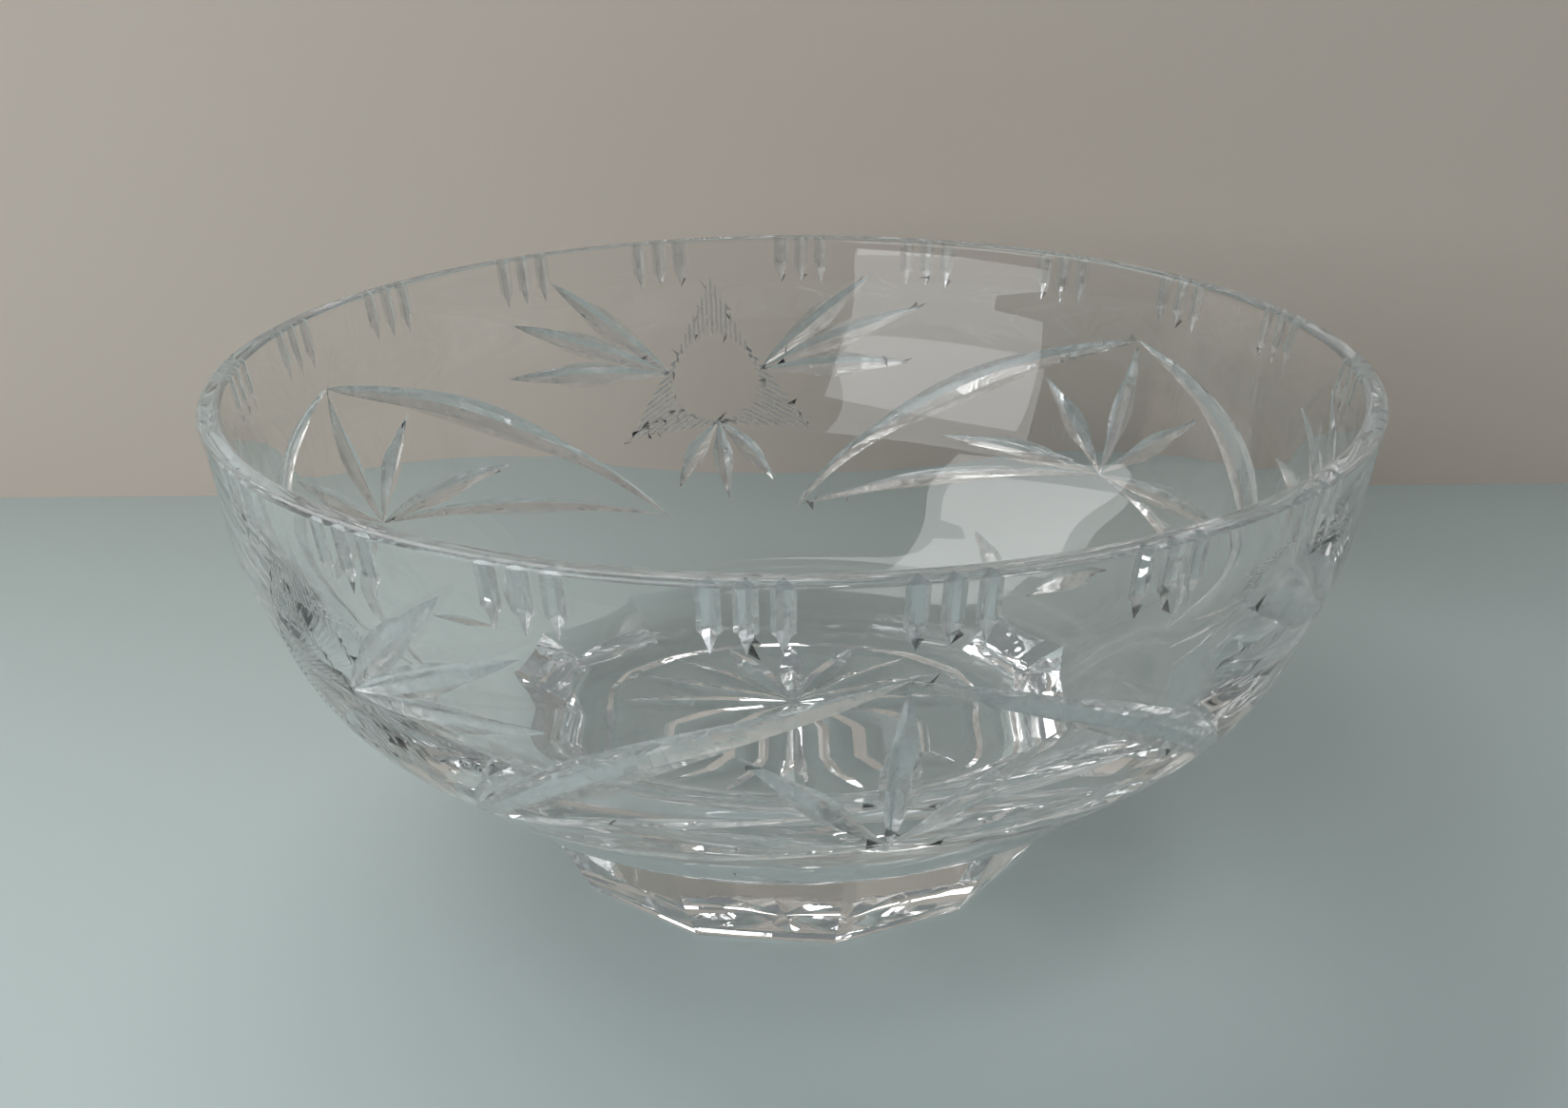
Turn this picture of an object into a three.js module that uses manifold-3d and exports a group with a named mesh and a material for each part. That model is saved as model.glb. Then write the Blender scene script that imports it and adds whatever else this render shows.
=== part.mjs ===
// A cut-crystal punch bowl: a round body with three cut arches, a star under each arch and a
// spray of leaves between them, on a twelve-sided foot. Millimetres, +Z up, table at z = 0.
import * as THREE from "three";
import { mergeVertices } from "three/addons/utils/BufferGeometryUtils.js";
import Module from "manifold-3d";

const wasm = await Module();
wasm.setup();

// Driving sizes, in millimetres and degrees
const RIM_RADIUS = 125;
const HEIGHT = 114;
const RIM_WALL = 4.6;
const RIM_EDGE = 0.8;
const FLOOR_HEIGHT = 24;
const FOOT_HEIGHT = 25;
const FOOT_SIDES = 12;
const FOOT_TURN = 8;
const FOOT_BASE_CORNER = 57.8;
const FOOT_TOP_CORNER = 70.8;
const SEAT_RADIUS = 50;
const SEAT_HEIGHT = 16;
const RECESS_RADIUS = 47;
const RECESS_DEPTH = 1.5;
const BASE_STAR_RAYS = 16;
const BASE_RAY_START = 1.5;
const BASE_RAY_LENGTH = 40;
const BASE_RAY_HALF_WIDTH = 2.4;
const BASE_RAY_DEPTH = 1.6;
const JOINT_GAP = 0.3;
const BODY_SEGMENTS = 80;
const OUTSIDE_STEPS = 11;
const INSIDE_STEPS = 8;

// The cuts: angles are measured round the bowl, heights from the table
const ARCHES = [
  { centre: 39.3, starHeight: 58.7 },
  { centre: 161.3, starHeight: 59.3 },
  { centre: 278.1, starHeight: 55.6 },
];
const SPRAY_ANGLES = [100.3, 219.7, 338.7];
const CUT_STEPS = 5;
const CUT_DEPTH = 2.4;
const CUT_RISE = 2.5;

const ARCH_APEX_HEIGHT = 95;
const ARCH_FOOT_HEIGHT = 41;
const ARCH_HALF_ANGLE = 49.5;
const ARCH_BOW = 6;
const ARM_HALF_WIDTH = 4.4;
const ARM_STEPS = 10;

const STAR_RAYS = [
  { away: 48, height: 42, halfWidth: 3 },
  { away: 27, height: 60, halfWidth: 3.5 },
  { away: 13.3, height: 80.5, halfWidth: 3 },
];
const STAR_TOP = 93;
const LOW_LEAF = { from: [4, 31], to: [16, 40], halfWidth: 2.6 };

const LEAF_HALF_WIDTH = 3.6;
const SPRAY_BASE = [6.4, 76];
const SPRAY_TIPS = [[-27.9, 79], [-29.3, 95.3], [-22, 103.3], [22.1, 105.5], [28.4, 95.8], [30.4, 81.5]];
const DROP_BASE_HEIGHT = 62.5;
const DROP_TIPS = [[-8.2, 46.3], [0, 43.3], [8.2, 46.3]];
const DROP_HALF_WIDTH = 3.1;

const NOTCH_GROUP_ANGLES = [
  16, 34, 52, 71, 88, 107, 126, 147, 165, 181, 198, 215, 232, 249, 266, 281, 299, 318, 337, 356,
];
const NOTCHES_PER_GROUP = 3;
const NOTCH_SPACING = 2.7;
const NOTCH_BOTTOM = 100.5;
const NOTCH_HALF_WIDTH = 2.1;
const NOTCH_DEPTH_SHARE = 0.55;

const DEGREE = Math.PI / 180;

// Outside of the body from the foot to the rim, as [radius, height]
const OUTSIDE = [
  [69.5, FOOT_HEIGHT + JOINT_GAP],
  [80, 30],
  [93.5, 41.5],
  [109, 56.8],
  [116.5, 73],
  [120.6, 84.5],
  [123, 100],
  [RIM_RADIUS, HEIGHT],
];

// Inside of the body from the floor to the rim
const INSIDE = [
  [40, FLOOR_HEIGHT + 0.6],
  [58, 28],
  [73, 36],
  [88, 48.5],
  [103, 62],
  [111, 76],
  [115.4, 88],
  [118.2, 101],
  [RIM_RADIUS - RIM_WALL, HEIGHT - RIM_EDGE],
];

const toCurve = (points) => new THREE.SplineCurve(points.map(([r, z]) => new THREE.Vector2(r, z)));
const outsideCurve = toCurve(OUTSIDE);
const insideCurve = toCurve(INSIDE);

// The outside's [radius, height] at a height, found by halving the curve
function outsideAt(height) {
  let low = 0;
  let high = 1;
  while (high - low > 1e-5) {
    const middle = (low + high) / 2;
    if (outsideCurve.getPoint(middle).y < height) low = middle;
    else high = middle;
  }
  return outsideCurve.getPoint(low);
}

// A point on the outside, or off it by a distance along its outward normal
function onBody(angle, height, off = 0) {
  const here = outsideAt(height);
  const above = outsideAt(Math.min(height + 0.5, HEIGHT));
  const below = outsideAt(Math.max(height - 0.5, OUTSIDE[0][1]));
  const along = above.clone().sub(below).normalize();
  const radius = here.x + off * along.y;
  const z = here.y - off * along.x;
  return new THREE.Vector3(radius * Math.cos(angle * DEGREE), radius * Math.sin(angle * DEGREE), z);
}

// Hands a closed geometry to manifold-3d
function toSolid(geometry) {
  const bare = geometry.clone();
  bare.deleteAttribute("normal");
  bare.deleteAttribute("uv");
  const merged = mergeVertices(bare, 1e-4);
  const solid = new wasm.Manifold(
    new wasm.Mesh({
      numProp: 3,
      vertProperties: new Float32Array(merged.attributes.position.array),
      triVerts: new Uint32Array(merged.index.array),
    }),
  );
  return solid;
}

function toGeometry(solid) {
  const { vertProperties, triVerts } = solid.getMesh();
  const geometry = new THREE.BufferGeometry();
  geometry.setAttribute("position", new THREE.BufferAttribute(new Float32Array(vertProperties), 3));
  geometry.setIndex(new THREE.BufferAttribute(new Uint32Array(triVerts), 1));
  geometry.computeVertexNormals();
  return geometry;
}

// A solid of revolution about Z, from [radius, height] points running up its outside
function revolve(points, segments) {
  const outline = points.map(([r, z]) => new THREE.Vector2(r, z));
  return new THREE.LatheGeometry(outline, segments).rotateX(Math.PI / 2);
}

// A V-shaped cutter along a path of [angle, height] points: its edge runs below the surface,
// deepest where bite is 1, and its two upper corners stay outside the body
function cutter(path, halfWidth, bite) {
  const spine = path.map(([angle, height]) => onBody(angle, height));
  const corners = [];
  path.forEach(([angle, height], i) => {
    const before = spine[Math.max(i - 1, 0)];
    const after = spine[Math.min(i + 1, spine.length - 1)];
    const forward = after.clone().sub(before).normalize();
    const outward = onBody(angle, height, 1).sub(spine[i]).normalize();
    const sideways = forward.clone().cross(outward).normalize();
    const depth = CUT_DEPTH * bite(i / (path.length - 1));
    const spread = halfWidth * (CUT_RISE + depth) / CUT_DEPTH;
    corners.push(spine[i].clone().addScaledVector(outward, -depth));
    const lift = spine[i].clone().addScaledVector(outward, CUT_RISE);
    corners.push(lift.clone().addScaledVector(sideways, spread));
    corners.push(lift.clone().addScaledVector(sideways, -spread));
  });
  const triangles = [0, 1, 2];
  for (let i = 0; i + 1 < path.length; i++) {
    for (let side = 0; side < 3; side++) {
      const here = 3 * i + side;
      const beside = 3 * i + (side + 1) % 3;
      triangles.push(here, here + 3, beside, beside, here + 3, beside + 3);
    }
  }
  const last = 3 * (path.length - 1);
  triangles.push(last, last + 2, last + 1);
  const geometry = new THREE.BufferGeometry();
  geometry.setAttribute("position", new THREE.BufferAttribute(
    new Float32Array(corners.flatMap((corner) => corner.toArray())), 3));
  geometry.setIndex(triangles);
  return toSolid(geometry);
}

// Bites: how the depth of a cut varies along it
const leafBite = (t) => Math.sin(Math.PI * (0.06 + 0.88 * t)) ** 0.7;
const armBite = (t) => 0.2 + 0.8 * Math.sin(Math.PI * (0.1 + 0.8 * t));
const notchBite = (t) => NOTCH_DEPTH_SHARE * Math.min(1, 0.15 + 1.7 * t);

// A straight run of steps between two [angle, height] points, bowed sideways by a height
function run(from, to, steps = CUT_STEPS, bow = 0) {
  const path = [];
  for (let i = 0; i <= steps; i++) {
    const t = i / steps;
    const lift = bow * Math.sin(Math.PI * t);
    path.push([from[0] + (to[0] - from[0]) * t, from[1] + (to[1] - from[1]) * t + lift]);
  }
  return path;
}

// One arch with its star: two bowed arms from the apex to the feet, rays from the star's heart,
// and two low leaves under it
function archCutters({ centre, starHeight }) {
  const apex = [centre, ARCH_APEX_HEIGHT];
  const heart = [centre, starHeight];
  const cutters = [cutter(run(heart, [centre, STAR_TOP]), LEAF_HALF_WIDTH, leafBite)];
  for (const side of [-1, 1]) {
    const foot = [centre + side * ARCH_HALF_ANGLE, ARCH_FOOT_HEIGHT];
    cutters.push(cutter(run(apex, foot, ARM_STEPS, ARCH_BOW), ARM_HALF_WIDTH, armBite));
    for (const { away, height, halfWidth } of STAR_RAYS) {
      cutters.push(cutter(run(heart, [centre + side * away, height]), halfWidth, leafBite));
    }
    const lowPath = run(
      [centre + side * LOW_LEAF.from[0], LOW_LEAF.from[1]],
      [centre + side * LOW_LEAF.to[0], LOW_LEAF.to[1]],
    );
    cutters.push(cutter(lowPath, LOW_LEAF.halfWidth, leafBite));
  }
  return cutters;
}

// One spray: two fans of leaves beside a clear disc and a third fan below it
function sprayCutters(centre) {
  const cutters = [];
  for (const [away, height] of SPRAY_TIPS) {
    const base = [centre + Math.sign(away) * SPRAY_BASE[0], SPRAY_BASE[1]];
    cutters.push(cutter(run(base, [centre + away, height]), LEAF_HALF_WIDTH, leafBite));
  }
  for (const [away, height] of DROP_TIPS) {
    const path = run([centre, DROP_BASE_HEIGHT], [centre + away, height]);
    cutters.push(cutter(path, DROP_HALF_WIDTH, leafBite));
  }
  return cutters;
}

// Short notches round the rim, in groups of three, open at the top
function rimCutters() {
  const cutters = [];
  for (const middle of NOTCH_GROUP_ANGLES) {
    for (let i = 0; i < NOTCHES_PER_GROUP; i++) {
      const angle = middle + NOTCH_SPACING * (i - (NOTCHES_PER_GROUP - 1) / 2);
      const path = run([angle, NOTCH_BOTTOM], [angle, HEIGHT], 2);
      cutters.push(cutter(path, NOTCH_HALF_WIDTH, notchBite));
    }
  }
  return cutters;
}

function material(color, roughness) {
  return new THREE.MeshStandardMaterial({ color, roughness, metalness: 0 });
}

// The body: outside and inside walls, a rounded rim, and an underside that sits in the foot
function makeBowl() {
  const outside = outsideCurve.getPoints(OUTSIDE_STEPS).slice(0, -1);
  const inside = insideCurve.getPoints(INSIDE_STEPS).reverse();
  const rim = [
    [RIM_RADIUS, HEIGHT - RIM_EDGE],
    [RIM_RADIUS - RIM_EDGE, HEIGHT],
    [RIM_RADIUS - RIM_WALL + RIM_EDGE, HEIGHT],
  ];
  const profile = [
    [0, SEAT_HEIGHT + JOINT_GAP],
    [SEAT_RADIUS, SEAT_HEIGHT + JOINT_GAP],
    ...outside.map((point) => point.toArray()),
    ...rim,
    ...inside.map((point) => point.toArray()),
    [0, FLOOR_HEIGHT],
  ];
  let solid = toSolid(revolve(profile, BODY_SEGMENTS));
  const cutters = [
    ...ARCHES.flatMap(archCutters),
    ...SPRAY_ANGLES.flatMap(sprayCutters),
    ...rimCutters(),
  ];
  for (const cut of cutters) solid = solid.subtract(cut);
  const mesh = new THREE.Mesh(toGeometry(solid), material(0xdfe8e8, 0.04));
  mesh.name = "bowl";
  return mesh;
}

// The foot: a twelve-sided frustum, dished on top for the body, with a star cut under it
function makeFoot() {
  const frustum = new THREE.CylinderGeometry(
    FOOT_TOP_CORNER, FOOT_BASE_CORNER, FOOT_HEIGHT, FOOT_SIDES,
  );
  frustum.rotateX(Math.PI / 2);
  frustum.rotateZ((FOOT_TURN - 90) * DEGREE);
  frustum.translate(0, 0, FOOT_HEIGHT / 2);
  let solid = toSolid(frustum);
  const dish = revolve([
    [0, SEAT_HEIGHT],
    [SEAT_RADIUS, SEAT_HEIGHT],
    [OUTSIDE[0][0], FOOT_HEIGHT],
    [FOOT_TOP_CORNER + 5, FOOT_HEIGHT],
    [FOOT_TOP_CORNER + 5, FOOT_HEIGHT + 5],
    [0, FOOT_HEIGHT + 5],
  ], BODY_SEGMENTS);
  solid = solid.subtract(toSolid(dish));
  const recess = revolve([
    [0, -5],
    [RECESS_RADIUS + 1, -5],
    [RECESS_RADIUS + 1, -1],
    [RECESS_RADIUS, 0],
    [RECESS_RADIUS - 3, RECESS_DEPTH],
    [0, RECESS_DEPTH],
  ], BODY_SEGMENTS / 2);
  solid = solid.subtract(toSolid(recess));
  for (let i = 0; i < BASE_STAR_RAYS; i++) {
    solid = solid.subtract(baseRay((360 / BASE_STAR_RAYS) * i));
  }
  const mesh = new THREE.Mesh(toGeometry(solid), material(0xdfe8e8, 0.04));
  mesh.name = "foot";
  return mesh;
}

// A slim four-sided spindle lying in the underside, pointing outwards
function baseRay(angle) {
  const spindle = new THREE.OctahedronGeometry(1, 0);
  spindle.scale(BASE_RAY_LENGTH / 2, BASE_RAY_HALF_WIDTH, BASE_RAY_DEPTH);
  spindle.translate(BASE_RAY_LENGTH / 2 + BASE_RAY_START, 0, RECESS_DEPTH);
  spindle.rotateZ(angle * DEGREE);
  return toSolid(spindle);
}

const punchBowl = new THREE.Group();
punchBowl.add(makeBowl(), makeFoot());

export default punchBowl;
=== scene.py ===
"""A cut-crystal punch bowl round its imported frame: one clear glass body with wheel-cut arches,
stars, leaf sprays, engraved hatching, rim notches and a twelve-sided foot. Metres, +Z up."""

import math

import bpy
import numpy as np
from mathutils import Euler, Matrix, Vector, kdtree


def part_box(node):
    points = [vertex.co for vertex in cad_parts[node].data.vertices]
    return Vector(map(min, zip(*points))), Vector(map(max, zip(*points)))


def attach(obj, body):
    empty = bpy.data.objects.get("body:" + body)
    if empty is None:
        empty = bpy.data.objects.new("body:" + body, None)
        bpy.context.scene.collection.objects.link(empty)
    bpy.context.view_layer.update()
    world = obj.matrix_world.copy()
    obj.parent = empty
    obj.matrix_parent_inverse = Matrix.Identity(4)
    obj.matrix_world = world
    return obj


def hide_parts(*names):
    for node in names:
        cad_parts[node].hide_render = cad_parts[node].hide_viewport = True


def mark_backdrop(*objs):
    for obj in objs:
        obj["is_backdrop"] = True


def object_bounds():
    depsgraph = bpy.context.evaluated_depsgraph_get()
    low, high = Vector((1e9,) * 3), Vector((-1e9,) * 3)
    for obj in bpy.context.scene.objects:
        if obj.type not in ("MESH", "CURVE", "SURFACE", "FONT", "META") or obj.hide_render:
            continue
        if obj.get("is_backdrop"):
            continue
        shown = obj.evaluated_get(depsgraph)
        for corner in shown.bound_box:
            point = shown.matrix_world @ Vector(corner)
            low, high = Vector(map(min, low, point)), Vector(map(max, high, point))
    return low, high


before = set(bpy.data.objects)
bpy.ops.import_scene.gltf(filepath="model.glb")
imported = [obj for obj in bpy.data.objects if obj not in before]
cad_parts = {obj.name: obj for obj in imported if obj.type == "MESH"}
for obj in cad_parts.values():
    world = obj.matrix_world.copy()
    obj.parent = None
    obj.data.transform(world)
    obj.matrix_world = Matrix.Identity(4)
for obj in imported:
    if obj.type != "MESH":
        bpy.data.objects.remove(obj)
cad_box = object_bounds()

# ---------------------------------------------------------------- sizes, from the frame

_, BOWL_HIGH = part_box("bowl")
_, FOOT_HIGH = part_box("foot")
RIM_RADIUS = BOWL_HIGH.x
HEIGHT = BOWL_HIGH.z
FOOT_HEIGHT = FOOT_HIGH.z
MM = RIM_RADIUS / 125  # every detail keeps its proportion to the rim

RIM_WALL = 4.6 * MM
RIM_ROUND = 1.3 * MM
FOOT_SIDES = 12
FOOT_TURN = math.radians(8)
FOOT_TOP_CORNER = FOOT_HIGH.x / math.cos(FOOT_TURN)
FOOT_BASE_CORNER = FOOT_TOP_CORNER - 13 * MM
FOOT_BEVEL = 0.5 * MM
RECESS_RADIUS = 47 * MM
RECESS_DEPTH = 1.5 * MM

AROUND = 240  # segments round the turned surfaces
ALONG_OUTSIDE = 56
ALONG_INSIDE = 44

# ---------------------------------------------------------------- camera

CAMERA_PLACE = Vector((-0.0042, -0.3665, 0.2190))
CAMERA_DOWN = math.radians(22.55)
CAMERA_PAN = math.radians(-0.36)
CAMERA_ROLL = math.radians(0.4)
CAMERA_LENS = 39.6


def make_camera():
    data = bpy.data.cameras.new("camera")
    data.lens = CAMERA_LENS
    data.sensor_width = 36
    data.clip_start = 0.01
    camera = bpy.data.objects.new("camera", data)
    camera.location = CAMERA_PLACE
    turned = Euler((math.pi / 2 - CAMERA_DOWN, 0, CAMERA_PAN)).to_matrix()
    rolled = turned @ Euler((0, 0, -CAMERA_ROLL)).to_matrix()
    camera.rotation_euler = rolled.to_euler()
    bpy.context.collection.objects.link(camera)
    bpy.context.scene.camera = camera


# ---------------------------------------------------------------- the turned profile


def spline(points, count):
    """count [x, y] points on a natural cubic spline through points, spaced by chord length."""
    p = np.array(points, float)
    s = np.concatenate([[0], np.cumsum(np.hypot(*np.diff(p, axis=0).T))])
    n, h = len(p), np.diff(s)
    a = np.zeros((n, n))
    b = np.zeros((n, 2))
    a[0, 0] = a[-1, -1] = 1
    for i in range(1, n - 1):
        a[i, i - 1 : i + 2] = h[i - 1], 2 * (h[i - 1] + h[i]), h[i]
        b[i] = 6 * ((p[i + 1] - p[i]) / h[i] - (p[i] - p[i - 1]) / h[i - 1])
    m = np.linalg.solve(a, b)
    t = np.linspace(0, s[-1], count)
    k = np.clip(np.searchsorted(s, t, side="right") - 1, 0, n - 2)
    u, v = (s[k + 1] - t)[:, None], (t - s[k])[:, None]
    w = h[k][:, None]
    return (
        (m[k] * u**3 + m[k + 1] * v**3) / (6 * w)
        + (p[k] / w - m[k] * w / 6) * u
        + (p[k + 1] / w - m[k + 1] * w / 6) * v
    )


def in_mm(points):
    return [(r * MM, z * MM) for r, z in points]


# [radius, height] in millimetres, from low to high
OUTSIDE = in_mm(
    [(0, 13), (30, 13.6), (52, 17), (69.5, 25.3), (80, 30), (93.5, 41.5), (109, 56.8), (116.5, 73),
     (120.6, 84.5), (123, 100)]
) + [(RIM_RADIUS, HEIGHT - RIM_ROUND)]
INSIDE = in_mm(
    [(0, 24), (40, 24.6), (58, 28), (73, 36), (88, 48.5), (103, 62), (111, 76), (115.4, 88),
     (118.2, 101)]
) + [(RIM_RADIUS - RIM_WALL, HEIGHT - RIM_ROUND)]


def rounded_rim(steps=5):
    """The rim's top from outside to inside, as two quarter rounds and the flat between them."""
    points = []
    for side, radius in ((1, RIM_RADIUS - RIM_ROUND), (-1, RIM_RADIUS - RIM_WALL + RIM_ROUND)):
        for i in range(1, steps + 1):
            angle = math.pi / 2 * i / steps
            if side < 0:
                angle = math.pi / 2 * (1 - (i - 1) / steps)
            points.append(
                (radius + side * RIM_ROUND * math.cos(angle),
                 HEIGHT - RIM_ROUND + RIM_ROUND * math.sin(angle))
            )
    return points


OUTSIDE_LINE = spline(OUTSIDE, ALONG_OUTSIDE)
INSIDE_LINE = spline(INSIDE, ALONG_INSIDE)

FINE = 1500
OUTSIDE_FINE = spline(OUTSIDE, FINE)
OUTSIDE_SLOPE = np.gradient(OUTSIDE_FINE, axis=0)
OUTSIDE_SLOPE /= np.linalg.norm(OUTSIDE_SLOPE, axis=1)[:, None]
OUTSIDE_NORMAL = np.stack([OUTSIDE_SLOPE[:, 1], -OUTSIDE_SLOPE[:, 0]], axis=1)


def on_bowl(angle, height, off=0.0):
    """The point on the outside at an angle in degrees and a height in metres, moved outwards by
    off, and the outward direction there."""
    radius = np.interp(height, OUTSIDE_FINE[:, 1], OUTSIDE_FINE[:, 0])
    out_r = np.interp(height, OUTSIDE_FINE[:, 1], OUTSIDE_NORMAL[:, 0])
    out_z = np.interp(height, OUTSIDE_FINE[:, 1], OUTSIDE_NORMAL[:, 1])
    a = math.radians(angle)
    outward = Vector((out_r * math.cos(a), out_r * math.sin(a), out_z)).normalized()
    return Vector((radius * math.cos(a), radius * math.sin(a), height)) + outward * off, outward


# ---------------------------------------------------------------- mesh helpers

POLISHED, CUT, ENGRAVED, FOOT_FACET, REST = SLOTS = range(5)  # material slots of the glass


def make_mesh(name, points, faces, slot_index):
    mesh = bpy.data.meshes.new(name)
    mesh.from_pydata([tuple(p) for p in points], [], faces)
    for _ in SLOTS:
        mesh.materials.append(None)
    mesh.polygons.foreach_set("material_index", [slot_index] * len(faces))
    mesh.update()
    return mesh


def make_object(name, mesh):
    obj = bpy.data.objects.new(name, mesh)
    bpy.context.collection.objects.link(obj)
    return obj


def turned_solid(name, line, slot_index, segments=AROUND):
    """A closed solid of revolution from [radius, height] points that start and end on the axis."""
    points = [(0, 0, line[0][1])]
    rings = line[1:-1]
    for r, z in rings:
        for i in range(segments):
            a = 2 * math.pi * i / segments
            points.append((r * math.cos(a), r * math.sin(a), z))
    points.append((0, 0, line[-1][1]))
    faces = []
    last = len(points) - 1
    for i in range(segments):
        j = (i + 1) % segments
        faces.append((0, 1 + j, 1 + i))
        faces.append((last, last - segments + i, last - segments + j))
        for k in range(len(rings) - 1):
            low, high = 1 + k * segments, 1 + (k + 1) * segments
            faces.append((low + i, low + j, high + j, high + i))
    return make_mesh(name, points, faces, slot_index)


def sweep(sections):
    """Points and faces of a closed tube through equal, ordered rings of corners."""
    size = len(sections[0])
    points = [corner for ring in sections for corner in ring]
    faces = [tuple(reversed(range(size)))]
    for k in range(len(sections) - 1):
        for i in range(size):
            j = (i + 1) % size
            a, b = k * size, (k + 1) * size
            faces.append((a + i, a + j, b + j, b + i))
    faces.append(tuple(range(len(points) - size, len(points))))
    return points, faces


def joined(name, parts, slot_index):
    """One mesh of several closed (points, faces) parts that stay clear of each other."""
    points, faces = [], []
    for part_points, part_faces in parts:
        start = len(points)
        points += part_points
        faces += [tuple(i + start for i in face) for face in part_faces]
    return make_mesh(name, points, faces, slot_index)


def combine(target, mesh, operation="DIFFERENCE"):
    """Cuts mesh from target, or joins it on, and throws the cutter away."""
    tool = make_object("tool", mesh)
    step = target.modifiers.new("step", "BOOLEAN")
    step.operation = operation
    step.solver = "MANIFOLD"
    step.object = tool
    depsgraph = bpy.context.evaluated_depsgraph_get()
    result = bpy.data.meshes.new_from_object(target.evaluated_get(depsgraph))
    target.modifiers.clear()
    old = target.data
    target.data = result
    bpy.data.meshes.remove(old)
    bpy.data.objects.remove(tool)
    bpy.data.meshes.remove(mesh)


# ---------------------------------------------------------------- the cuts

# hand-cut, so the three repeats differ a little: an arch's middle in degrees, its star's height
ARCHES = ((39.3, 58.7 * MM), (161.3, 59.3 * MM), (278.1, 55.6 * MM))
SPRAY_ANGLES = (100.3, 219.7, 338.7)
CUTTER_LIFT = 4 * MM  # how far a cutter's top stands out of the glass
HATCH_LIFT = 0.1 * MM  # the same for the fine lines, which lie close together
OVERRUN = 0.05  # how far a cutter runs on past each end of its cut, as a share of it


def leaf_bite(t):
    """Depth of a wheel's plunge along its cut: full at the middle, none at the ends."""
    return 4 * t * (1 - t)


def arm_bite(t):
    """An arch's arm: a plunge that stays deep along more of its length."""
    return math.copysign(abs(4 * t * (1 - t)) ** 0.75, t * (1 - t))


SHOULDER = 0.55  # share of a cut's half width taken by the steeper part of its wheel's edge
STEEPER = 1.45  # how much steeper that part is than the whole


def groove(path, half_width, depth, bite=leaf_bite, steps=22):
    """A cutter along path, a function from 0..1 to (degrees, height): a V that opens wider a
    little above its edge, as a worn mitre wheel's does."""
    narrow, shoulder = half_width * SHOULDER, depth * SHOULDER * STEEPER
    widening = (half_width - narrow) / (depth - shoulder)

    def section(here, outward, sideways, bottom):
        edge, top = here - outward * bottom, here + outward * CUTTER_LIFT
        waist = edge + outward * shoulder
        spread = narrow + widening * (CUTTER_LIFT + bottom - shoulder)
        return [
            edge, waist + sideways * narrow, top + sideways * spread,
            top - sideways * spread, waist - sideways * narrow,
        ]

    return along_path(path, depth, bite, steps, section)


def fine_groove(path, half_width, depth, bite, steps):
    """A plain V-shaped cutter that stands only a little out of the glass."""

    def section(here, outward, sideways, bottom):
        top = here + outward * HATCH_LIFT
        spread = half_width * (HATCH_LIFT + bottom) / depth
        return [here - outward * bottom, top + sideways * spread, top - sideways * spread]

    return along_path(path, depth, bite, steps, section)


def along_path(path, depth, bite, steps, section):
    """A closed cutter swept along path, from a little before its start to a little past its end."""
    sections = []
    for i in range(steps + 1):
        t = -OVERRUN + (1 + 2 * OVERRUN) * i / steps
        here, outward = on_bowl(*path(t))
        ahead, _ = on_bowl(*path(t + 0.01))
        behind, _ = on_bowl(*path(t - 0.01))
        sideways = (ahead - behind).cross(outward).normalized()
        sections.append(section(here, outward, sideways, depth * bite(t)))
    return sweep(sections)


def straight(start, end, bow=0.0):
    """A path from one (degrees, height) to another, bowed upwards by bow at its middle."""

    def path(t):
        rise = bow * math.sin(math.pi * t)
        return start[0] + (end[0] - start[0]) * t, start[1] + (end[1] - start[1]) * t + rise

    return path


ARCH_APEX = 95 * MM
ARCH_FOOT = 41 * MM
ARCH_HALF_ANGLE = 49.5
ARCH_BOW = 6 * MM
ARM_HALF_WIDTH = 4.4 * MM
ARM_DEPTH = 3.6 * MM

STAR_RAYS = (  # degrees from the middle, height, half width and depth in millimetres
    (48.5, 41.5, 2.9, 2.6),
    (27, 60, 3.7, 3.3),
    (13.3, 80.5, 3.3, 2.9),
)
STAR_TOP = 94 * MM
LOW_LEAF = ((4, 30), (16, 40), 2.8, 2.2)

LEAF_HALF_WIDTH = 3.75 * MM
LEAF_DEPTH = 3.4 * MM
SPRAY_BASE = (6.4, 76)
SPRAY_TIPS = ((-27.9, 79), (-29.3, 95.3), (-22, 103.3), (30.4, 81.5), (28.4, 95.8), (22.1, 105.5))
DROP_BASE = 62.5 * MM
DROP_TIPS = ((-8.2, 46.3), (0, 43.3), (8.2, 46.3))
DROP_HALF_WIDTH = 3.1 * MM
DROP_DEPTH = 2.7 * MM


def cut_arches(glass):
    for side in (-1, 1):
        arms = []
        for centre, _ in ARCHES:
            foot = (centre + side * ARCH_HALF_ANGLE, ARCH_FOOT)
            path = straight((centre, ARCH_APEX), foot, ARCH_BOW)
            arms.append(groove(path, ARM_HALF_WIDTH, ARM_DEPTH, arm_bite, steps=40))
        combine(glass, joined("arms", arms, CUT))


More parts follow.
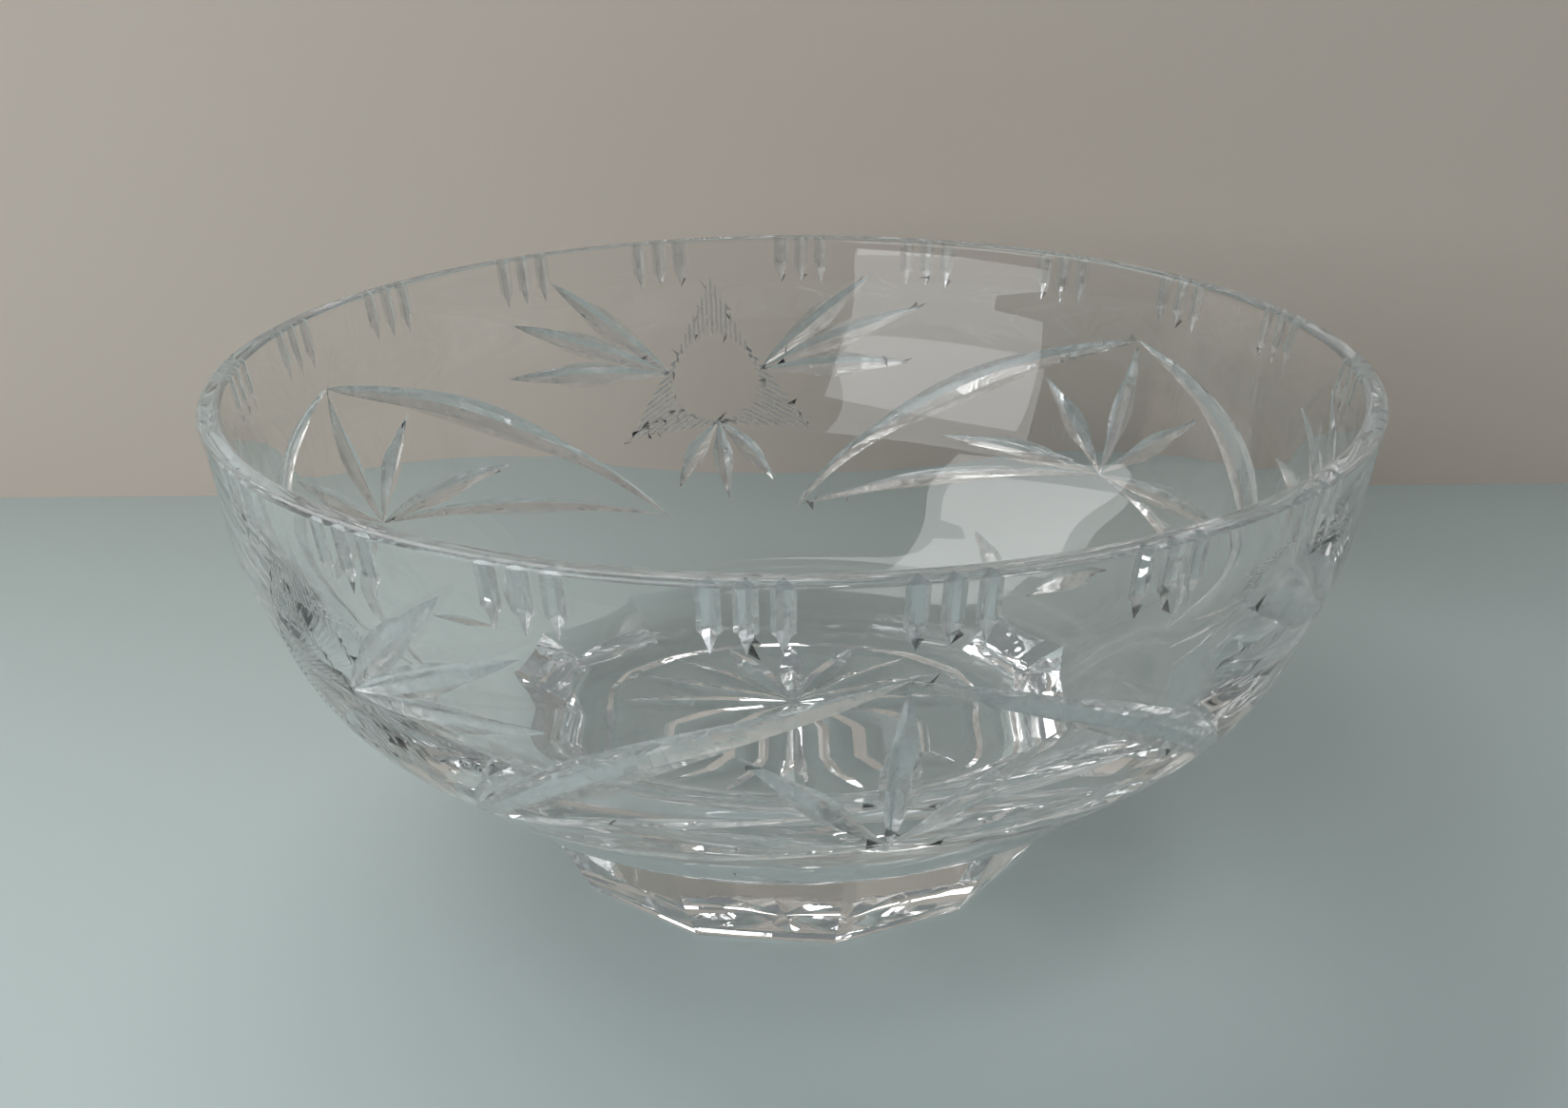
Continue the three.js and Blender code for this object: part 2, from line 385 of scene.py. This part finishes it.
def cut_stars(glass):
    for side in (-1, 1):
        for away, height, half_width, depth in STAR_RAYS:
            rays = []
            for centre, heart in ARCHES:
                path = straight((centre, heart), (centre + side * away, height * MM))
                rays.append(groove(path, half_width * MM, depth * MM))
            combine(glass, joined("rays", rays, CUT))
        (low_away, low), (high_away, high), half_width, depth = LOW_LEAF
        leaves = []
        for centre, _ in ARCHES:
            start = (centre + side * low_away, low * MM)
            end = (centre + side * high_away, high * MM)
            leaves.append(groove(straight(start, end), half_width * MM, depth * MM))
        combine(glass, joined("low_leaves", leaves, CUT))
    uprights = []
    for centre, heart in ARCHES:
        path = straight((centre, heart), (centre, STAR_TOP))
        uprights.append(groove(path, LEAF_HALF_WIDTH, LEAF_DEPTH))
    combine(glass, joined("uprights", uprights, CUT))


def cut_sprays(glass):
    for away, height in SPRAY_TIPS:
        leaves = []
        for centre in SPRAY_ANGLES:
            base = (centre + math.copysign(SPRAY_BASE[0], away), SPRAY_BASE[1] * MM)
            tip = (centre + away, height * MM)
            leaves.append(groove(straight(base, tip), LEAF_HALF_WIDTH, LEAF_DEPTH))
        combine(glass, joined("leaves", leaves, CUT))
    for away, height in DROP_TIPS:
        drops = []
        for centre in SPRAY_ANGLES:
            path = straight((centre, DROP_BASE), (centre + away, height * MM))
            drops.append(groove(path, DROP_HALF_WIDTH, DROP_DEPTH))
        combine(glass, joined("drops", drops, CUT))


NOTCH_GROUP_ANGLES = (
    16, 34, 52, 71, 88, 107, 126, 147, 165, 181, 198, 215, 232, 249, 266, 281, 299, 318, 337, 356,
)
NOTCHES_PER_GROUP = 3
NOTCH_SPACING = 2.7
NOTCH_BOTTOM = 100.5 * MM
NOTCH_HALF_WIDTH = 2.1 * MM
NOTCH_DEPTH = 1.7 * MM
NOTCH_TOP = HEIGHT + 0.5 * MM
NOTCH_PLUNGE = 3.2  # how fast a notch gets to its full depth, upwards from its lower end


def cut_notches(glass):
    """Three short upright cuts in each group, open at the rim."""

    def bite(t):
        return min(1.0, NOTCH_PLUNGE * t)

    for i in range(NOTCHES_PER_GROUP):
        offset = NOTCH_SPACING * (i - (NOTCHES_PER_GROUP - 1) / 2)
        notches = []
        for middle in NOTCH_GROUP_ANGLES:
            angle = middle + offset
            path = straight((angle, NOTCH_BOTTOM), (angle, NOTCH_TOP))
            notches.append(groove(path, NOTCH_HALF_WIDTH, NOTCH_DEPTH, bite, steps=12))
        combine(glass, joined("notches", notches, CUT))


HATCH_SPACING = 1.35 * MM
HATCH_HALF_WIDTH = 0.36 * MM
HATCH_DEPTH = 0.3 * MM
DISC_HEIGHT = 74 * MM
DISC_RADIUS = 12 * MM
HATCH_REACHES = ((90, 26.5 * MM), (210, 29.5 * MM), (330, 29.5 * MM))
HATCH_HALF_BASE = 12.5 * MM
HATCH_START = 0.35  # where a triangle of lines starts, as a share of the disc's radius
HATCH_TAPER = 1.04  # how much wider than its base a triangle is reckoned for its lines' ends
HATCH_SHORTEST = 1.2 * MM
HATCH_PLUNGE = 5


def cut_hatching(glass):
    """Three triangles of fine parallel lines round each clear disc."""

    def bite(t):
        return min(1.0, HATCH_PLUNGE * t, HATCH_PLUNGE * (1 - t))

    count = int(HATCH_HALF_BASE / HATCH_SPACING)
    for direction, reach_out in HATCH_REACHES:
        out_x, out_y = math.cos(math.radians(direction)), math.sin(math.radians(direction))
        lines = []
        for centre in SPRAY_ANGLES:
            for k in range(-count, count + 1):
                across = k * HATCH_SPACING
                near = math.sqrt(max(DISC_RADIUS**2 - across**2, 0))
                near = max(near, DISC_RADIUS * HATCH_START)
                far = reach_out * (1 - abs(across) / (HATCH_HALF_BASE * HATCH_TAPER))
                far = max(far, 0) + DISC_RADIUS * HATCH_START
                if far - near < HATCH_SHORTEST:
                    continue
                ends = []
                for reach in (near, far):
                    x = out_x * reach - out_y * across
                    y = out_y * reach + out_x * across
                    ends.append(on_disc(centre, x, y))
                lines.append(
                    fine_groove(straight(*ends), HATCH_HALF_WIDTH, HATCH_DEPTH, bite, steps=10)
                )
        combine(glass, joined("hatching", lines, ENGRAVED))


def on_disc(centre, x, y):
    """(degrees, height) of a point x round and y up along the wall from a clear disc's middle."""
    heights = OUTSIDE_FINE[:, 1]
    along = np.concatenate([[0], np.cumsum(np.hypot(*np.diff(OUTSIDE_FINE, axis=0).T))])
    middle = np.interp(DISC_HEIGHT, heights, along)
    height = float(np.interp(middle + y, along, heights))
    radius = float(np.interp(height, heights, OUTSIDE_FINE[:, 0]))
    return centre - math.degrees(x / radius), height


# ---------------------------------------------------------------- the foot

BASE_RAYS = 16
BASE_RAY_START = 1.2 * MM
BASE_RAY_END = 43 * MM
BASE_RAY_HALF_WIDTH = 3.2 * MM
BASE_RAY_DEPTH = 2.0 * MM
BASE_RAY_STEPS = 16


def foot_solid():
    """The twelve-sided frustum with a narrow bevel where its sides meet the table."""
    rise = FOOT_TOP_CORNER - FOOT_BASE_CORNER
    levels = [
        (0, FOOT_BASE_CORNER - FOOT_BEVEL),
        (FOOT_BEVEL * 0.8, FOOT_BASE_CORNER + rise * FOOT_BEVEL / FOOT_HEIGHT),
        (FOOT_HEIGHT + 2 * MM, FOOT_TOP_CORNER + rise * 2 * MM / FOOT_HEIGHT),
    ]
    rings = []
    for z, corner in levels:
        ring = []
        for i in range(FOOT_SIDES):
            a = FOOT_TURN + 2 * math.pi * i / FOOT_SIDES
            ring.append((corner * math.cos(a), corner * math.sin(a), z))
        rings.append(ring)
    points, faces = sweep(rings)
    return make_mesh("frustum", points, faces, FOOT_FACET)


def cut_base(glass):
    """The shallow recess under the foot and the rayed star in it."""
    line = [
        (0, -3 * MM), (RECESS_RADIUS + 1 * MM, -3 * MM), (RECESS_RADIUS, 0),
        (RECESS_RADIUS - 1.5 * MM, RECESS_DEPTH * 0.7), (RECESS_RADIUS - 4 * MM, RECESS_DEPTH),
        (0, RECESS_DEPTH),
    ]
    combine(glass, turned_solid("recess", line, REST, AROUND // 2))
    for i in range(BASE_RAYS // 2):
        pair = []
        for turn in (0, math.pi):
            a = math.pi * 2 * i / BASE_RAYS + turn
            along = Vector((math.cos(a), math.sin(a), 0))
            sideways = Vector((-math.sin(a), math.cos(a), 0))
            sections = []
            for k in range(BASE_RAY_STEPS + 1):
                t = -OVERRUN + (1 + 2 * OVERRUN) * k / BASE_RAY_STEPS
                depth = BASE_RAY_DEPTH * leaf_bite(t)
                middle = along * (BASE_RAY_START + (BASE_RAY_END - BASE_RAY_START) * t)
                spread = BASE_RAY_HALF_WIDTH * (RECESS_DEPTH + depth) / BASE_RAY_DEPTH
                sections.append([
                    middle + Vector((0, 0, RECESS_DEPTH + depth)),
                    middle - sideways * spread,
                    middle + sideways * spread,
                ])
            pair.append(sweep(sections))
        combine(glass, joined("base_rays", pair, CUT))


# ---------------------------------------------------------------- the glass

SHARP_ANGLE = math.radians(14)


def profile_tree(line):
    tree = kdtree.KDTree(len(line))
    for i, (r, z) in enumerate(line):
        tree.insert((r, z, 0), i)
    tree.balance()
    return tree


def smooth_normals(mesh, line):
    """True normals on the turned surfaces, so that no facet of the mesh shows in them; every face
    of the cuts and the foot is flat."""
    mesh.polygons.foreach_set("use_smooth", [True] * len(mesh.polygons))
    mesh.set_sharp_from_angle(angle=SHARP_ANGLE)
    normals = np.empty(len(mesh.loops) * 3, np.float32)
    mesh.corner_normals.foreach_get("vector", normals)
    normals = normals.reshape(-1, 3)

    slope = np.gradient(line, axis=0)
    slope /= np.linalg.norm(slope, axis=1)[:, None]
    tree = profile_tree(line)
    points = np.empty(len(mesh.vertices) * 3, np.float32)
    mesh.vertices.foreach_get("co", points)
    points = points.reshape(-1, 3)
    wanted = np.zeros(len(mesh.vertices), bool)
    corner_slot = np.empty(len(mesh.loops), np.int32)
    corner_face = np.empty(len(mesh.loops), np.int32)
    for face in mesh.polygons:
        corners = slice(face.loop_start, face.loop_start + face.loop_total)
        corner_slot[corners] = face.material_index
        corner_face[corners] = face.index
    corner_vertex = np.empty(len(mesh.loops), np.int32)
    mesh.loops.foreach_get("vertex_index", corner_vertex)
    turned_corners = corner_slot == POLISHED
    wanted[corner_vertex[turned_corners]] = True
    true_normals = np.zeros((len(points), 3))
    for i in np.nonzero(wanted)[0]:
        x, y, z = points[i]
        r = math.hypot(x, y)
        _, k, _ = tree.find((r, z, 0))
        out_r, out_z = slope[k, 1], -slope[k, 0]
        if r > 1e-7:
            true_normals[i] = out_r * x / r, out_r * y / r, out_z
        else:
            true_normals[i] = 0, 0, math.copysign(1, out_z)
    face_normals = np.empty(len(mesh.polygons) * 3, np.float32)
    mesh.polygons.foreach_get("normal", face_normals)
    face_normals = face_normals.reshape(-1, 3)[corner_face]
    flat = (corner_slot != POLISHED) & (np.linalg.norm(face_normals, axis=1) > 0.5)
    normals[flat] = face_normals[flat]
    normals[turned_corners] = true_normals[corner_vertex[turned_corners]]
    mesh.normals_split_custom_set([tuple(n) for n in normals])


def make_glass():
    line = np.array([*OUTSIDE_LINE, *rounded_rim(), *INSIDE_LINE[::-1]])
    glass = make_object("crystal_bowl", turned_solid("crystal_bowl", line, POLISHED))
    combine(glass, foot_solid(), "UNION")
    cut_base(glass)
    cut_arches(glass)
    cut_stars(glass)
    cut_sprays(glass)
    cut_notches(glass)
    cut_hatching(glass)
    fine_rim = rounded_rim(40)
    fine = np.array([*OUTSIDE_FINE, *fine_rim, *spline(INSIDE, FINE)[::-1]])
    smooth_normals(glass.data, fine)
    glass.data.name = "crystal_bowl"
    return glass


# ---------------------------------------------------------------- materials

CRYSTAL_IOR = 1.545
CRYSTAL_COLOUR = (0.985, 0.99, 0.99)
GRAIN_DETAIL = 6
GRAIN_RANGE = (0.45, 0.75)  # the stretch of the grain that the gloss follows
WAVE_DETAIL = 2


def glass_material(name, gloss, grain, bump_height, bump_grain, clear=1.0):
    """Clear crystal whose gloss and surface vary a little, from polishing, handling and wear;
    gloss is its lowest and highest roughness, clear the share of light that isn't scattered."""
    material = bpy.data.materials.new(name)
    material.use_nodes = True
    nodes, links = material.node_tree.nodes, material.node_tree.links
    shader = nodes["Principled BSDF"]
    shader.inputs["Base Color"].default_value = (*CRYSTAL_COLOUR, 1)
    shader.inputs["Transmission Weight"].default_value = clear
    shader.inputs["IOR"].default_value = CRYSTAL_IOR

    place = nodes.new("ShaderNodeTexCoord")
    noise = nodes.new("ShaderNodeTexNoise")
    noise.inputs["Scale"].default_value = grain
    noise.inputs["Detail"].default_value = GRAIN_DETAIL
    links.new(place.outputs["Object"], noise.inputs["Vector"])
    spread = nodes.new("ShaderNodeMapRange")
    low, high = GRAIN_RANGE
    spread.inputs["From Min"].default_value, spread.inputs["From Max"].default_value = low, high
    spread.inputs["To Min"].default_value, spread.inputs["To Max"].default_value = gloss
    links.new(noise.outputs["Fac"], spread.inputs["Value"])
    links.new(spread.outputs["Result"], shader.inputs["Roughness"])

    waves = nodes.new("ShaderNodeTexNoise")
    waves.inputs["Scale"].default_value = bump_grain
    waves.inputs["Detail"].default_value = WAVE_DETAIL
    links.new(place.outputs["Object"], waves.inputs["Vector"])
    bump = nodes.new("ShaderNodeBump")
    bump.inputs["Strength"].default_value = 1
    bump.inputs["Distance"].default_value = bump_height
    links.new(waves.outputs["Fac"], bump.inputs["Height"])
    links.new(bump.outputs["Normal"], shader.inputs["Normal"])
    return material


def plain_material(name, colour, roughness):
    material = bpy.data.materials.new(name)
    material.use_nodes = True
    shader = material.node_tree.nodes["Principled BSDF"]
    shader.inputs["Base Color"].default_value = (*colour, 1)
    shader.inputs["Roughness"].default_value = roughness
    return material


def one_sided(material):
    """Leaves the surface out when it is seen from behind, so that it hides nothing from there."""
    nodes, links = material.node_tree.nodes, material.node_tree.links
    geometry = nodes.new("ShaderNodeNewGeometry")
    clear = nodes.new("ShaderNodeBsdfTransparent")
    mix = nodes.new("ShaderNodeMixShader")
    links.new(geometry.outputs["Backfacing"], mix.inputs["Fac"])
    links.new(nodes["Principled BSDF"].outputs["BSDF"], mix.inputs[1])
    links.new(clear.outputs["BSDF"], mix.inputs[2])
    links.new(mix.outputs["Shader"], nodes["Material Output"].inputs["Surface"])


# ---------------------------------------------------------------- stage and light

FLOOR_COLOUR = (0.60, 0.70, 0.69)
BACKDROP_COLOUR = (0.76, 0.66, 0.575)
BACKDROP_BEHIND = 0.222
BACKDROP_HEIGHT = 0.36
STAGE_SIZE = 3.0
FLOOR_ROUGHNESS = 0.8
BACKDROP_ROUGHNESS = 0.9
AIR_UNDER_FOOT = 0.0004  # keeps the glass and the floor apart, as the weave of a cloth does


def make_stage():
    half = STAGE_SIZE / 2
    z = -AIR_UNDER_FOOT
    floor_points = [(-half, -half, z), (half, -half, z), (half, half, z), (-half, half, z)]
    floor = make_object("floor", make_mesh("floor", floor_points, [(0, 1, 2, 3)], 0))
    y = BACKDROP_BEHIND
    wall_points = [
        (-half, y, z), (half, y, z), (half, y, BACKDROP_HEIGHT), (-half, y, BACKDROP_HEIGHT),
    ]
    wall = make_object("backdrop", make_mesh("backdrop", wall_points, [(0, 1, 2, 3)], 0))
    floor.data.materials[0] = plain_material("floor", FLOOR_COLOUR, FLOOR_ROUGHNESS)
    wall.data.materials[0] = plain_material("backdrop", BACKDROP_COLOUR, BACKDROP_ROUGHNESS)
    one_sided(wall.data.materials[0])
    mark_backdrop(floor, wall)


def add_light(name, place, target, size, power, colour):
    data = bpy.data.lights.new(name, "AREA")
    data.shape = "RECTANGLE"
    data.size, data.size_y = size
    data.energy = power
    data.color = colour
    light = bpy.data.objects.new(name, data)
    light.location = place
    light.rotation_euler = (Vector(target) - Vector(place)).to_track_quat("-Z", "Y").to_euler()
    bpy.context.collection.objects.link(light)


LIGHT_TURNS = 24  # how many times light may turn or bounce on its way
WORLD_COLOUR = (0.80, 0.84, 0.88)
WORLD_STRENGTH = 0.23
SKYLIGHT = {
    "place": (-0.62, 0.6, 1.2), "target": (0, 0, 0.05), "size": (1.4, 1.1),
    "power": 13, "colour": (1, 0.99, 0.97),
}
WINDOW = {
    "place": (-0.84, -0.95, 0.67), "target": (0.05, 0.1, 0.09), "size": (1.3, 0.9),
    "power": 8, "colour": (0.96, 0.98, 1),
}


def make_light():
    world = bpy.data.worlds.new("studio")
    world.use_nodes = True
    background = world.node_tree.nodes["Background"]
    background.inputs["Color"].default_value = (*WORLD_COLOUR, 1)
    background.inputs["Strength"].default_value = WORLD_STRENGTH
    bpy.context.scene.world = world
    add_light("skylight", **SKYLIGHT)
    add_light("window", **WINDOW)


def deepen_light_paths():
    """Lets light find its way out of the cuts, which turn it back into the glass many times."""
    bpy.context.scene.view_settings.view_transform = "Standard"
    paths = bpy.context.scene.cycles
    paths.max_bounces = LIGHT_TURNS
    paths.glossy_bounces = LIGHT_TURNS
    paths.transmission_bounces = LIGHT_TURNS


make_camera()
deepen_light_paths()
crystal = make_glass()
crystal.data.materials[POLISHED] = glass_material("crystal", (0.0, 0.02), 30, 0.00003, 25)
crystal.data.materials[CUT] = glass_material("crystal_cut", (0.0, 0.04), 90, 0.00006, 120)
crystal.data.materials[ENGRAVED] = glass_material(
    "crystal_engraved", (0.2, 0.35), 300, 0.00002, 600, clear=0.7
)
crystal.data.materials[FOOT_FACET] = glass_material("crystal_facet", (0.0, 0.03), 40, 0.0002, 70)
crystal.data.materials[REST] = glass_material("crystal_rest", (0.03, 0.2), 200, 0.0001, 300)
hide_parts("bowl", "foot")
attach(crystal, "root")
make_stage()
make_light()

boxes = {"cad": cad_box, "visual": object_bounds()}
{name: [list(low), list(high)] for name, (low, high) in boxes.items()}
